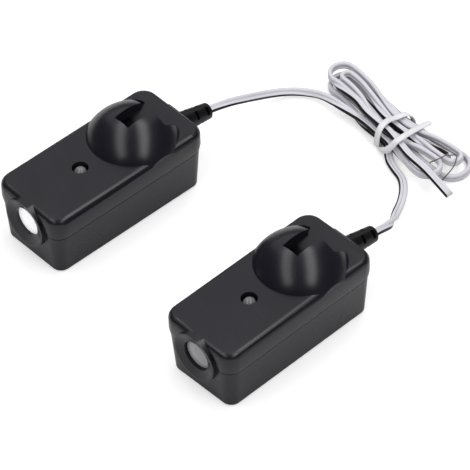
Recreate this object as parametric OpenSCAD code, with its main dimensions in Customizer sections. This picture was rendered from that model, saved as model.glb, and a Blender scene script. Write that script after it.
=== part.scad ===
/* [Housing] */
// Length of one housing
housing_l = 75; // [72:0.5:80]
// Width over the widest level, just above the joint
housing_w = 35.4; // [34:0.2:38]
// Height of the flat top
housing_h = 28.1; // [27.5:0.1:29.5]
// How far under the flat top the joint between base and cover lies, and the lens axis with it
joint_down = 10; // [9.7:0.1:10.2]
// Thickness of both shells
wall = 2; // [1.7:0.1:2.2]
// Radius of the upright corners
corner_r = 6; // [5:0.5:7]
// Radius of the rounded edge round the flat top
top_round = 2.4; // [1.6:0.1:2.8]
// How far the base draws in at its foot, on each side
base_draft = 2; // [1:0.1:2.4]
// How far both shells stand back at the joint
joint_inset = 0.45; // [0.2:0.05:0.7]
// How much further back the base stands there
joint_step = 0.2; // [0:0.05:0.3]
// Height of the groove that the cover leaves open along the joint
groove_h = 0.5; // [0.3:0.05:0.7]
// Depth of that groove
groove_d = 0.5; // [0.3:0.05:0.6]
// Height over which the cover flares out above the joint
flare_h = 3; // [2:0.2:4]
// Chamfer round the foot of the base
foot_chamfer = 0.7; // [0.3:0.1:1]

/* [Lens barrel] */
// Outer radius of the barrel
barrel_r = 10.3; // [10:0.1:10.5]
// How far the barrel stands out of the front wall
barrel_proud = 1.2; // [0.8:0.1:1.6]
// Radius of the lens opening
mouth_r = 6.2; // [6:0.05:6.6]
// Width of the flat rim outside the sloping face
rim_w = 0.8; // [0.5:0.1:1.2]
// Depth of the sloping face
bevel_d = 1.3; // [1:0.1:1.5]
// Height of the lens dome
lens_rise = 1; // [0.8:0.1:1.3]
// How far the lens edge lies behind the opening
lens_back = 1.4; // [1.1:0.1:1.6]

/* [Ball seat] */
// Radius of the ball-shaped seat on the cover
ball_r = 20.4; // [20:0.1:20.8]
// Share of the length that lies between the middle of the housing and the seat's centre
ball_share = 0.2107; // [0.2:0.0001:0.215]
// How far under the flat top the seat's centre lies
ball_down = 10.2; // [9.9:0.1:10.5]
// Width of the slot for the bolt's square neck
neck_w = 7.6; // [7.2:0.1:8]
// Distance from the seat's centre forward to the slot's closed end
neck_depth = 5.1; // [4.4:0.1:5.6]
// Width of the space for the bolt's head
head_w = 19.2; // [17:0.2:19.6]
// Height of the space for the bolt's head
head_h = 4.9; // [4.2:0.1:5]
// Distance from the seat's centre back to where the slot opens to the head's full width
entry_back = 8; // [7.4:0.1:9]

/* [Indicator] */
// Radius of the hole for the indicator
led_hole_r = 3.2; // [3:0.1:3.4]
// Share of the length that lies between the middle of the housing and the hole
led_share = 0.1373; // [0.12:0.0001:0.16]
// Radius of the indicator's dome
led_r = 2.5; // [2.4:0.05:2.6]

/* [Circuit board] */
// How much shorter the board is than the housing
board_less_l = 23; // [21:0.5:25]
// How much narrower the board is than the housing
board_less_w = 10.4; // [9.4:0.2:11.4]
// Thickness of the board
board_t = 1.6; // [1.5:0.1:1.7]
// Distance from the middle of the housing back to the middle of the board
board_x = 2; // [1.5:0.5:2.5]
// Radius of the emitter and of the photodiode
eye_r = 2.5; // [2.4:0.05:2.5]

/* [Strain relief] */
// Length outside the flange, along the relief
relief_l = 14.2; // [13:0.2:16]
// Radius next to the flange
relief_r = 4.3; // [4:0.1:4.6]
// Radius at the end that the lead leaves
relief_end_r = 3.3; // [3:0.1:3.6]
// How far the relief droops
relief_droop = 11; // [4:1:12]
// Rows of slots that let it bend
relief_rows = 4; // [3:1:5]
// Width of one slot
relief_slot_w = 1.4; // [1:0.1:1.5]

/* [Pair] */
// Distance between the two housings, middle to middle
pair_pitch = 93.2; // [80:0.2:100]
// How far the sender lies behind the receiver
pair_stagger = 1.4; // [0:0.1:3]
// Angle by which each one turns towards the other
pair_toe = 0.88; // [0:0.02:1.5]

/* [Leads] */
// Width of the flat twin lead
lead_w = 3.35; // [3:0.05:3.4]
// Thickness of the flat twin lead
lead_t = 1.75; // [1.6:0.05:1.8]
// Diameter of one bare stranded conductor
strand_d = 0.7; // [0.6:0.05:0.8]
// Width of the strap that ties the hank
tie_w = 2.4; // [2:0.1:2.6]
// Thickness of the strap
tie_t = 0.8; // [0.7:0.05:0.9]

/* [Hidden] */
$fn = 64;

// Colours
shell_color = [0.16, 0.16, 0.17];
rubber_color = [0.1, 0.1, 0.11];
board_color = [0.12, 0.36, 0.2];
metal_color = [0.75, 0.75, 0.77];
lead_color = [0.9, 0.9, 0.91];
clear_color = [0.8, 0.84, 0.86];

// One overrun serves every cut, one gap every fixed fit
cut = 1;
gap = 0.1;
skin = 0.01;
corner_steps = 8;
round_steps = 5;

// Levels of the housing
joint_h = housing_h - joint_down;
front_x = -housing_l / 2;
rear_x = housing_l / 2;
rim_x = front_x - barrel_proud;
barrel_back_x = front_x + 8.4 * wall / 2;
lip_h = 1.4;
lip_w = wall / 2 - gap;
board_top = joint_h - eye_r;
board_z = board_top - board_t;
ceiling_z = housing_h - wall;
flare_z = joint_h + flare_h;
inner_half_w = housing_w / 2 - base_draft - wall;

// Ball seat and indicator
ball_x = ball_share * housing_l;
ball_z = housing_h - ball_down;
neck_x = ball_x - neck_depth;
entry_x = ball_x + entry_back;
led_x = led_share * housing_l;

// Board
board_l = housing_l - board_less_l;
board_w = housing_w - board_less_w;

// Lens
mouth_x = rim_x + bevel_d;
lens_x = mouth_x + lens_back;
lens_r = mouth_r - gap;
lens_land = 1.4;
flange_r = mouth_r + 1.1;
flange_t = 1.5;
gasket_t = 0.5;
flange_x = lens_x + lens_land;
lens_ball_r = (lens_r * lens_r + lens_rise * lens_rise) / (2 * lens_rise);

// Posts for the board and their pegs
post_r = 2.2;
peg_r = 1.1;
post_dx = board_l / 2 - 5;
post_dy = board_w / 2 - 3;
peg_rise = 0.8;
pad_r = 1.8;

// Small slot for a blade, at one front corner
pry_w = 2.6;
pry_h = 2.4;
pry_d = 1;

// Strain relief
bolt_head_w = 14.6;
relief_neck_w = 8;
relief_neck_h = 6.4;
relief_flange_w = 11.2;
relief_flange_h = 12.8;
relief_inner_w = 11;
relief_inner_h = 9;
relief_flange_t = 1.6;
relief_inner_t = 1.5;
relief_inner_back = 0.45;
relief_neck_x = rear_x - joint_inset - wall - relief_inner_back;
relief_flange_x = rear_x + 0.5 * gap;
relief_body_x = relief_flange_x + relief_flange_t;
relief_core = 0.5;
relief_collar_l = 1.3;
relief_first = 3.2;
relief_slot_l = 3.5;
relief_end_x = relief_body_x + relief_l * cos(relief_droop);
relief_end_z = joint_h - relief_l * sin(relief_droop);

// Parts on the board
pin_d = 0.6;
eye_body_l = 7.2;
eye_x = board_x - board_l / 2 + 2.6;
led_flange_r = led_r + 0.4;
led_flange_h = 1;
led_top = housing_h - 0.2;
led_barrel_h = 6;
led_base_z = led_top - led_r - led_barrel_h;
chip_l = 9.8;
chip_w = 6.4;
chip_h = 3.2;
chip_seat = 0.4;
chip_pins = 4;
pin_pitch = 2.54;
capacitor_r = 3.1;
capacitor_room = 1.5;
capacitor_h = ceiling_z - board_top - capacitor_room;
resistor_r = 0.95;
resistor_l = 5.2;
resistor_rise = 0.25;
resistor_x = board_x + post_dx - peg_r - 3 * gap - resistor_r;
transistor_w = 4.6;
transistor_h = 4.6;
can_t = 0.4;
tail_d = 1.5;

// Hank of both leads. A place is [x, y, z, turn]: at turn 0 the flat lead lies flat, at 90 it stands on edge
waist_x = [106.9, 105.8, 106.9];
waist_y = -5;
slot_pitch = 4.2;
flat_z = [2.4, 5, 7.5];
edge_z = [1.75, 5.8];
edge_turn = [-90, 90];
waist_turn = [0, -15, -12];
tail_turn = -190;
twist_lead = 1.4;
run_steps = 4;
bend_steps = 6;

// Bends of the hank, each [x, y, radius]
far_outer = [112.1, 28.8, 6];
far_middle = [113, 31.1, 5.2];
far_inner_low = [112.2, 28.4, 3.3];
far_inner_high = [112.9, 28.5, 2.2];
near_outer = [109.9, -31.2, 6.9];
near_inner = [110.6, -31.2, 3.2];
near_left = [100, -27.9, 5.1];

// Free stretches, chosen by hand
sender_in = [101.1, 10, 4.8, 0];
sender_route = [
    [65.9, 45.7, 12.2, 35], [73.9, 45.4, 9.1, 45], [81.3, 44.9, 6.1, 45], [86.6, 44, 4.3, 45],
    [91.6, 42.2, 3, 45], [95.6, 39.4, 2.4, 50], [98.4, 35.5, 2.6, 60], [100.1, 30.6, 3.5, 60],
    [100.6, 24.5, 4.3, 40], [100.6, 17.5, 4.8, 10]
];
receiver_in = [93.2, -17.6, 1.1, 0];
receiver_route = [
    [63.2, -43.6, 10.8, 0], [69.8, -40.1, 6.8, 0], [76, -35.4, 3, 0], [82.6, -31.4, 1.4, 0],
    [88.1, -27.1, 1, 0], [91.6, -22.6, 1, 0]
];
receiver_entry = [
    [93.2, -17.6, 1.1, 0], [94.7, -13.3, 1.4, 0], [97, -10, 1.9, 0], [99.6, -7.4, 2.3, 0],
    [100.5, -4.4, 2.4, 0]
];
receiver_up = [101, 1, 2.35, 0];
sender_over = [[106.3, 23.8, 7, 15], [105, 15.3, 7.9, -10], [102.9, 7.7, 8, -12], [102.2, -0.2, 7.7, -12]];
sender_tail = [
    [99.9, -12.6, 8.1, -5], [97.1, -21.2, 9.1, 0], [95.8, -32.1, 9.2, 5], [93.2, -46.5, 8.2, 10]
];
receiver_tail = [
    [109.8, -12, 2.4, -190], [111, -18, 2.6, -210], [111.1, -24, 3.4, -250], [110.2, -28.6, 4.6, -270]
];
bare_routes = [
    [
        [110.2, -28.6, 5.4], [110.15, -29.8, 5.8], [110.5, -31.8, 7.2], [109.6, -34, 8.7],
        [107.4, -35.8, 8.6], [104, -37.1, 7.8], [98.6, -37.4, 6]
    ],
    [
        [110.2, -28.6, 3.8], [110.15, -29.8, 4.2], [109.7, -30.7, 5.6], [108.8, -31, 7.6],
        [107.2, -31.1, 9], [104, -30.7, 9.1], [99.8, -29.4, 8.8]
    ]
];
tie_route = [
    [117.8, -12.2, 6.2], [114.4, -12, 6.8], [110, -11.8, 7.4], [105.2, -12.5, 8.9], [101.2, -13.3, 10.2],
    [98.1, -13.2, 10.1], [96.2, -12.2, 7.7], [95.4, -10.6, 5.4], [95.2, -8.8, 4.1], [95.4, -7.1, 2.9],
    [96.8, -6.1, 1.2], [98.8, -6.1, 0.8], [107, -6, 0.8], [113.8, -5.6, 0.8], [115.4, -5, 1.6],
    [115.9, -4.4, 3.6], [115.1, -3.4, 5.8], [113, -2.4, 6.8], [109.2, -1.8, 7.3], [105.8, -1.9, 8.6],
    [102.8, -2.4, 9.5], [99.8, -3, 9.3], [97.9, -3.4, 7.4], [97.1, -3.6, 4.4], [97.1, -3.5, 1.9],
    [98, -3.2, 0.8], [100.4, -2.9, 0.8], [105.2, -2, 0.8]
];

// A place on one level at slot k of the waist, at its level's turn where none is given
function at_waist(k, level, turn) =
    [waist_x[level] + k * slot_pitch, waist_y, flat_z[level], is_undef(turn) ? waist_turn[level] : turn];

// Where a bend begins or ends, right for s = 1 and left for s = -1
function bend_end(b, s, level) = [b[0] + s * b[2], b[1], edge_z[level], edge_turn[level]];

// An eased run from one place to the next, without its last place
function run(a, b, n = run_steps) = [
    for (i = [0:n - 1])
        let (
            t = i / n,
            u = abs(a[3]) < abs(b[3]) ? min(1, twist_lead * t) : max(0, 1 - twist_lead * (1 - t)),
            e = (1 - cos(180 * t)) / 2,
            f = (1 - cos(180 * u)) / 2
        )
        [a[0] + (b[0] - a[0]) * e, a[1] + (b[1] - a[1]) * t, a[2] + (b[2] - a[2]) * f, a[3] + (b[3] - a[3]) * f]
];

// Half a turn from side s, at the far end for end = 1 and the near end for end = -1
function bend(b, s, end, level) = [
    for (i = [0:bend_steps - 1])
        let (a = 180 * i / bend_steps)
        [b[0] + s * b[2] * cos(a), b[1] + end * b[2] * sin(a), edge_z[level], edge_turn[level]]
];

sender_wound = concat(
    run(sender_in, at_waist(-1.5, 1), 2),
    run(at_waist(-1.5, 1), bend_end(near_left, -1, 1)),
    bend(near_left, -1, -1, 1),
    run(bend_end(near_left, 1, 1), at_waist(-0.5, 1)),
    run(at_waist(-0.5, 1), bend_end(far_inner_high, -1, 1)),
    bend(far_inner_high, -1, 1, 1),
    run(bend_end(far_inner_high, 1, 1), at_waist(0.5, 1)),
    run(at_waist(0.5, 1), bend_end(near_inner, -1, 1)),
    bend(near_inner, -1, -1, 1),
    run(bend_end(near_inner, 1, 1), at_waist(1.5, 1)),
    run(at_waist(1.5, 1), bend_end(far_middle, 1, 1)),
    bend(far_middle, 1, 1, 1),
    [bend_end(far_middle, -1, 1)],
    sender_over,
    [at_waist(-1.15, 2)],
    sender_tail
);

receiver_wound = concat(
    receiver_entry,
    run(receiver_up, bend_end(far_outer, -1, 0)),
    bend(far_outer, -1, 1, 0),
    run(bend_end(far_outer, 1, 0), at_waist(1.5, 0)),
    run(at_waist(1.5, 0), bend_end(near_outer, 1, 0)),
    bend(near_outer, 1, -1, 0),
    run(bend_end(near_outer, -1, 0), at_waist(-0.5, 0)),
    run(at_waist(-0.5, 0), bend_end(far_inner_low, -1, 0)),
    bend(far_inner_low, -1, 1, 0),
    run(bend_end(far_inner_low, 1, 0), at_waist(0.5, 0, tail_turn)),
    [at_waist(0.5, 0, tail_turn)],
    receiver_tail
);

// Middle of the relief's end face and the way it points, in the pair's frame
function turned(p, a) = [p[0] * cos(a) - p[1] * sin(a), p[0] * sin(a) + p[1] * cos(a), p[2]];

function relief_exit(side) =
    turned([relief_end_x, 0, relief_end_z], -side * pair_toe)
    + [barrel_proud / 2 + side * pair_stagger / 2, side * pair_pitch / 2, 0];

function relief_way(side) = turned([cos(relief_droop), 0, -sin(relief_droop)], -side * pair_toe);

// A smooth curve through hand-chosen places, with n steps from each to the next
function smooth(p, n) = [
    for (i = [0:len(p) - 2], k = [0:n - 1])
        let (
            t = k / n,
            a = p[max(0, i - 1)],
            b = p[i],
            c = p[i + 1],
            d = p[min(len(p) - 1, i + 2)]
        )
        0.5 * (2 * b + (c - a) * t + (2 * a - 5 * b + 4 * c - d) * t * t + (3 * b - a - 3 * c + d) * t * t * t),
    p[len(p) - 1]
];

function unit(v) = v / norm(v);
function xyz(p) = [p[0], p[1], p[2]];

// Direction of travel at every place
function ways(p) = [
    for (i = [0:len(p) - 1])
        unit(xyz(p[min(i + 1, len(p) - 1)]) - xyz(p[max(i - 1, 0)]))
];

// Direction of the flat lead's width at every place
function widths(p) =
    let (t = ways(p))
    [
        for (i = [0:len(p) - 1])
            let (
                h = unit([-t[i][1], t[i][0], 0]),
                w = cos(p[i][3]) * h + sin(p[i][3]) * [0, 0, 1]
            )
            unit(w - (w * t[i]) * t[i])
    ];

// The lead's flat oval in six or in eight corners
flat_six = [
    [lead_w / 2, 0], [lead_w / 2 - lead_t / 3, lead_t / 2], [lead_t / 3 - lead_w / 2, lead_t / 2],
    [-lead_w / 2, 0], [lead_t / 3 - lead_w / 2, -lead_t / 2], [lead_w / 2 - lead_t / 3, -lead_t / 2]
];
flat_eight = [
    [lead_w / 2, lead_t / 5], [lead_w / 2 - lead_t / 3, lead_t / 2], [lead_t / 3 - lead_w / 2, lead_t / 2],
    [-lead_w / 2, lead_t / 5], [-lead_w / 2, -lead_t / 5], [lead_t / 3 - lead_w / 2, -lead_t / 2],
    [lead_w / 2 - lead_t / 3, -lead_t / 2], [lead_w / 2, -lead_t / 5]
];
strap_four = [
    [tie_w / 2, tie_t / 2], [-tie_w / 2, tie_t / 2], [-tie_w / 2, -tie_t / 2], [tie_w / 2, -tie_t / 2]
];
strand_six = [for (k = [0:5]) [strand_d / 2 * cos(60 * k), strand_d / 2 * sin(60 * k)]];

// Least clearance between two wound leads, or of one to itself
function to_segment(p, a, b) =
    let (d = b - a, t = max(0, min(1, (p - a) * d / (d * d))))
    norm(p - a - t * d);

function least_gap(a, b, same) =
    let (wa = widths(a), wb = widths(b), rail = (lead_w - lead_t) / 2)
    min([
        for (i = [0:len(a) - 1], j = [0:len(b) - 2])
            if (!same || abs(i - j) > 3)
                for (u = [-rail, rail], v = [-rail, rail])
                    to_segment(xyz(a[i]) + u * wa[i], xyz(b[j]) + v * wb[j], xyz(b[j + 1]) + v * wb[j + 1])
    ]) - lead_t;

// A closed outline with round corners, l by w
function rounded(l, w, r) = [
    for (q = [0:3], k = [0:corner_steps])
        let (a = 90 * (q + k / corner_steps))
        [
            (q == 0 || q == 3 ? 1 : -1) * (l / 2 - r) + r * cos(a),
            (q < 2 ? 1 : -1) * (w / 2 - r) + r * sin(a)
        ]
];

// A solid through levels of the housing's outline, each [inset, height]
module stack(levels) {
    n = 4 * (corner_steps + 1);
    m = len(levels);
    points = [
        for (v = levels, p = rounded(housing_l - 2 * v[0], housing_w - 2 * v[0], corner_r - v[0]))
            [p[0], p[1], v[1]]
    ];
    sides = [
        for (i = [0:m - 2], k = [0:n - 1])
            [i * n + k, (i + 1) * n + k, (i + 1) * n + (k + 1) % n, i * n + (k + 1) % n]
    ];
    foot = [for (k = [0:n - 1]) k];
    top = [for (k = [0:n - 1]) m * n - 1 - k];
    polyhedron(points = points, faces = concat([foot], sides, [top]));
}

// Straight-sided block of the housing's outline
module block(inset, z, h) {
    stack([[inset, z], [inset, z + h]]);
}

// A rod along X from x0 to x1
module rod_x(r, x0, x1) {
    translate([x0, 0, joint_h])
        rotate([0, 90, 0])
            cylinder(r = r, h = x1 - x0);
}

// A disc along X whose radius goes from r0 at x0 to r1 at x1
module taper_x(r0, r1, x0, x1) {
    translate([x0, 0, joint_h])
        rotate([0, 90, 0])
            cylinder(r1 = r0, r2 = r1, h = x1 - x0);
}

// Everything on one side of the joint
module half_space(up) {
    translate([-housing_l, -housing_w, up ? joint_h : joint_h - 2 * housing_h])
        cube([2 * housing_l, 2 * housing_w, 2 * housing_h]);
}

// The barrel before its bore is cut
module barrel_body() {
    rod_x(barrel_r, rim_x, barrel_back_x);
}

// What the barrel leaves open: the sloping face, the opening and the lens groove
module barrel_bore() {
    bevel_r = barrel_r - rim_w;
    slope = (bevel_r - mouth_r) / bevel_d;
    taper_x(bevel_r + slope * cut, mouth_r, rim_x - cut, mouth_x);
    rod_x(mouth_r, mouth_x - skin, barrel_back_x + cut);
    rod_x(flange_r + gap, flange_x - gasket_t, flange_x + flange_t + gap);
}

// The passage for the strain relief's neck
module relief_passage() {
    translate([relief_neck_x - cut, -relief_neck_w / 2 - gap, joint_h - relief_neck_h / 2 - gap])
        cube([2 * wall + 2 * cut, relief_neck_w + 2 * gap, relief_neck_h + 2 * gap]);
}

// The upright post places, pegs on one diagonal and pads on the other
module at_posts(pegs) {
    for (s = [-1, 1])
        translate([board_x + s * post_dx, (pegs ? s : -s) * post_dy, 0])
            children();
}

module base() {
    color(shell_color)
        difference() {
            union() {
                difference() {
                    stack([
                        [base_draft + foot_chamfer, 0],
                        [base_draft, foot_chamfer],
                        [joint_inset + joint_step, joint_h]
                    ]);
                    stack([[base_draft + wall, wall], [joint_inset + wall, joint_h], [joint_inset + wall, joint_h + cut]]);
                }
                difference() {
                    block(joint_inset + wall / 2 + gap, joint_h - wall, lip_h + wall);
                    block(joint_inset + wall, joint_h - wall - cut, lip_h + wall + 2 * cut);
                    translate([front_x - cut, -barrel_r - gap, joint_h])
                        cube([barrel_back_x - front_x + cut, 2 * (barrel_r + gap), lip_h + cut]);
                    translate([relief_neck_x - 2 * wall, -relief_neck_w, joint_h])
                        cube([4 * wall, 2 * relief_neck_w, lip_h + cut]);
                }
                intersection() {
                    barrel_body();
                    half_space(false);
                }
                at_posts(true) {
                    translate([0, 0, wall - skin])
                        cylinder(r = post_r, h = board_z - wall + skin);
                    cylinder(r = peg_r, h = board_top + peg_rise);
                }
                at_posts(false)
                    translate([0, 0, wall - skin])
                        cylinder(r = post_r, h = board_z - wall + skin);
            }
            barrel_bore();
            relief_passage();
        }
}

module cover() {
    color(shell_color)
        difference() {
            union() {
                difference() {
                    stack(concat(
                        [
                            [joint_inset + groove_d, joint_h],
                            [joint_inset + groove_d, joint_h + groove_h],
                            [joint_inset, joint_h + groove_h],
                            [0, flare_z]
                        ],
                        [
                            for (k = [0:round_steps])
                                let (a = 90 * k / round_steps)
                                [top_round * (1 - cos(a)), housing_h - top_round * (1 - sin(a))]
                        ]
                    ));
                    stack([
                        [joint_inset + wall, joint_h - cut],
                        [joint_inset + wall, joint_h],
                        [wall, flare_z],
                        [wall, ceiling_z - top_round / 2],
                        [wall + top_round / 2, ceiling_z]
                    ]);
                    block(joint_inset + wall / 2, joint_h - cut, lip_h + gap + cut);
                }
                intersection() {
                    translate([ball_x, 0, ball_z])
                        sphere(r = ball_r, $fn = 128);
                    block(gap, housing_h - top_round, ball_r);
                }
                intersection() {
                    barrel_body();
                    half_space(true);
                    translate([rim_x, -housing_w, 0])
                        cube([housing_l, 2 * housing_w, housing_h]);
                }
                at_posts(false)
                    translate([0, 0, board_top + gap])
                        cylinder(r = pad_r, h = ceiling_z - board_top);
            }
            barrel_bore();
            relief_passage();
            translate([-led_x, 0, ceiling_z - cut])
                cylinder(r = led_hole_r, h = wall + 2 * cut);
            translate([neck_x, -neck_w / 2, housing_h])
                cube([housing_l, neck_w, ball_r]);
            translate([entry_x, -head_w / 2, housing_h])
                cube([housing_l, head_w, ball_r]);
            translate([neck_x + neck_w / 2 - bolt_head_w / 2, -head_w / 2, housing_h])
                cube([housing_l, head_w, head_h]);
            translate([front_x + corner_r * (1 - cos(45)), housing_w / 2 - corner_r * (1 - cos(45)), joint_h - cut])
                rotate(45)
                    translate([-pry_w / 2, -pry_d - joint_inset, 0])
                        cube([pry_w, 2 * corner_r, pry_h + cut]);
        }
}

module lens() {
    color(clear_color, 0.6)
        union() {
            rod_x(lens_r, lens_x, flange_x + flange_t);
            rod_x(flange_r, flange_x, flange_x + flange_t);
            intersection() {
                translate([lens_x - lens_rise + lens_ball_r, 0, joint_h])
                    sphere(r = lens_ball_r, $fn = 96);
                rod_x(lens_r, lens_x - 2 * lens_rise, lens_x + skin);
            }
        }
}

module lens_gasket() {
    color(rubber_color)
        difference() {
            rod_x(flange_r, flange_x - gasket_t, flange_x);
            rod_x(lens_r, flange_x - gasket_t - cut, flange_x + cut);
        }
}

module circuit_board() {
    color(board_color)
        difference() {
            translate([board_x - board_l / 2, -board_w / 2, board_z])
                cube([board_l, board_w, board_t]);
            at_posts(true)
                translate([0, 0, board_z - cut])
                    cylinder(r = peg_r + gap, h = board_t + 2 * cut);
        }
}

// A five-millimetre light or light sensor lying on the board, facing forward
module eye(tone) {
    color(tone) {
        rod_x(eye_r, eye_x - eye_body_l, eye_x);
        translate([eye_x - eye_body_l, 0, joint_h])
            sphere(r = eye_r);
        for (s = [-1, 1])
            translate([eye_x - skin, s * pin_pitch / 2 - pin_d / 2, joint_h - pin_d / 2])
                cube([pin_pitch, pin_d, pin_d]);
        for (s = [-1, 1])
            translate([eye_x + pin_pitch - pin_d, s * pin_pitch / 2 - pin_d / 2, board_top])
                cube([pin_d, pin_d, joint_h - board_top]);
    }
}

module emitter() {
    eye([0.3, 0.25, 0.45]);
}

module photodiode() {
    eye([0.12, 0.1, 0.12]);
}

module shield_can() {
    inner = eye_r + gap;
    color(metal_color)
        difference() {
            translate([eye_x - eye_body_l + can_t, -inner - can_t, board_top])
                cube([eye_body_l, 2 * (inner + can_t), eye_r + inner + can_t]);
            translate([eye_x - eye_body_l + 2 * can_t, -inner, board_top - cut])
                cube([eye_body_l + cut, 2 * inner, eye_r + inner + cut]);
            rod_x(inner, eye_x - eye_body_l - cut, eye_x);
        }
}

module driver_transistor() {
    color(rubber_color)
        translate([board_x + board_l / 12, board_w / 3, board_top])
            intersection() {
                cylinder(d = transistor_w, h = transistor_h);
                translate([-transistor_w / 2, -transistor_w / 2, 0])
                    cube([transistor_w * 0.8, transistor_w, transistor_h]);
            }
}

module led_spacer() {
    color(rubber_color)
        translate([-led_x, 0, board_top])
            difference() {
                cylinder(r = led_flange_r, h = led_base_z - led_flange_h - board_top);
                for (s = [-1, 1])
                    translate([0, s * pin_pitch / 2, -cut])
                        cylinder(d = pin_d + 2 * gap, h = led_base_z);
            }
}

module indicator_led() {
    color(clear_color, 0.6)
        translate([-led_x, 0, 0])
            union() {
                translate([0, 0, led_base_z - led_flange_h])
                    cylinder(r = led_flange_r, h = led_flange_h);
                translate([0, 0, led_base_z - skin])
                    cylinder(r = led_r, h = led_barrel_h + skin);
                translate([0, 0, led_base_z + led_barrel_h])
                    sphere(r = led_r);
                for (s = [-1, 1])
                    translate([0, s * pin_pitch / 2, board_top])
                        cylinder(d = pin_d, h = led_base_z - board_top - led_flange_h / 2);
            }
}

module chip() {
    color(rubber_color)
        translate([board_x + board_l / 8, 0, board_top]) {
            translate([-chip_l / 2, -chip_w / 2, chip_seat])
                cube([chip_l, chip_w, chip_h]);
            for (i = [0:chip_pins - 1], s = [-1, 1])
                translate([(i - (chip_pins - 1) / 2) * pin_pitch - pin_d / 2, s * (chip_w / 2 + pin_d / 2) - pin_d / 2, 0])
                    cube([pin_d, pin_d, chip_h / 2]);
            for (i = [0:chip_pins - 1], s = [-1, 1])
                translate([(i - (chip_pins - 1) / 2) * pin_pitch - pin_d / 2, s * chip_w / 2 - pin_d, chip_h / 2 - skin])
                    cube([pin_d, 2 * pin_d, pin_d / 2]);
        }
}

module capacitor() {
    color([0.1, 0.12, 0.25])
        translate([board_x - board_l / 16, -board_w / 3.6, board_top])
            cylinder(r = capacitor_r, h = capacitor_h);
}

module resistors() {
    color([0.75, 0.62, 0.42])
        for (i = [0:2])
            translate([resistor_x - i * pin_pitch, board_w / 3.2, board_top + resistor_r + resistor_rise]) {
                rotate([90, 0, 0])
                    cylinder(r = resistor_r, h = resistor_l, center = true);
                for (s = [-1, 1])
                    translate([-pin_d / 2, s * (resistor_l / 2 + pin_d / 2) - pin_d / 2, -resistor_r - resistor_rise])
                        cube([pin_d, pin_d, resistor_r + resistor_rise + pin_d / 2]);
                for (s = [-1, 1])
                    translate([-pin_d / 2, s * resistor_l / 2 - pin_d / 2, -pin_d / 2])
                        cube([pin_d, pin_d, pin_d]);
            }
}

// Both insulated conductors inside the housing, from the relief down to the board
module wire_tails() {
    rise = joint_h - board_top;
    run = relief_neck_x - relief_inner_t - (board_x + board_l / 2);
    color(lead_color)
        for (s = [-1, 1])
            translate([board_x + board_l / 2, s * tail_d * 0.55, board_top]) {
                translate([-tail_d, 0, 0])
                    cylinder(d = tail_d, h = rise);
                translate([-tail_d, 0, rise])
                    sphere(d = tail_d);
                translate([-tail_d, 0, rise])
                    rotate([0, 90, 0])
                        cylinder(d = tail_d, h = run + tail_d);
            }
}

// Flange, neck and a drooping body whose slots alternate between two directions
module strain_relief() {
    last = relief_l - relief_collar_l - relief_slot_w;
    color(rubber_color) {
        translate([relief_neck_x - relief_inner_t, -relief_inner_w / 2, joint_h - relief_inner_h / 2])
            cube([relief_inner_t, relief_inner_w, relief_inner_h]);
        translate([relief_neck_x - skin, -relief_neck_w / 2, joint_h - relief_neck_h / 2])
            cube([relief_flange_x - relief_neck_x + 2 * skin, relief_neck_w, relief_neck_h]);
        translate([relief_flange_x, -relief_flange_w / 2, joint_h - relief_flange_h / 2])
            cube([relief_flange_t, relief_flange_w, relief_flange_h]);
        translate([relief_body_x, 0, joint_h])
            rotate([0, 90 + relief_droop, 0])
                difference() {
                    translate([0, 0, -relief_flange_t / 2])
                        cylinder(r1 = relief_r, r2 = relief_end_r, h = relief_l + relief_flange_t / 2);
                    for (i = [0:relief_rows - 1])
                        let (
                            z = last - (last - relief_first) * i / (relief_rows - 1),
                            floor_r = relief_core * (relief_r + (relief_end_r - relief_r) * z / relief_l)
                        )
                        for (side = [0, 180])
                            rotate(45 + 90 * (i % 2) + side)
                                translate([floor_r, -relief_slot_l / 2, z])
                                    cube([2 * relief_r, relief_slot_l, relief_slot_w]);
                }
    }
}

// One unbroken tube through places p, its section's first axis along w
module sweep(p, w, section) {
    t = ways(p);
    m = len(p);
    n = len(section);
    points = [
        for (i = [0:m - 1])
            let (across = unit(w[i] - (w[i] * t[i]) * t[i]), up = cross(t[i], across))
            for (c = section)
                xyz(p[i]) + c[0] * across + c[1] * up
    ];
    sides = [
        for (i = [0:m - 2], k = [0:n - 1])
            let (a = i * n + k, b = i * n + (k + 1) % n)
            for (f = [[a, b + n, b], [a, a + n, b + n]])
                f
    ];
    first = [for (k = [0:n - 1]) k];
    last = [for (k = [0:n - 1]) m * n - 1 - k];
    polyhedron(points = points, faces = concat([first], sides, [last]));
}

// The free lead from a relief to the place where its hank begins
module free_lead(side, route, last) {
    start = relief_exit(side);
    way = relief_way(side);
    p = smooth(concat([concat(start, 0), concat(start + lead_w * way, 0)], route, [last]), 3);
    color(lead_color)
        sweep(p, widths(p), flat_eight);
}

module wound_lead(p) {
    color(lead_color)
        sweep(p, widths(p), flat_six);
}

module bare_ends() {
    color([0.72, 0.45, 0.28])
        for (route = bare_routes)
            let (p = smooth(route, 2))
            sweep(p, [for (q = p) [0, 0, 1]], strand_six);
}

module twist_tie() {
    p = smooth(tie_route, 2);
    color(lead_color)
        sweep(p, [for (q = p) [0, 1, 0]], strap_four);
}

// Places of the two housings
module at_sender() {
    translate([pair_stagger / 2 + barrel_proud / 2, pair_pitch / 2, 0])
        rotate(-pair_toe)
            children();
}

module at_receiver() {
    translate([barrel_proud / 2 - pair_stagger / 2, -pair_pitch / 2, 0])
        rotate(pair_toe)
            children();
}

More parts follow.
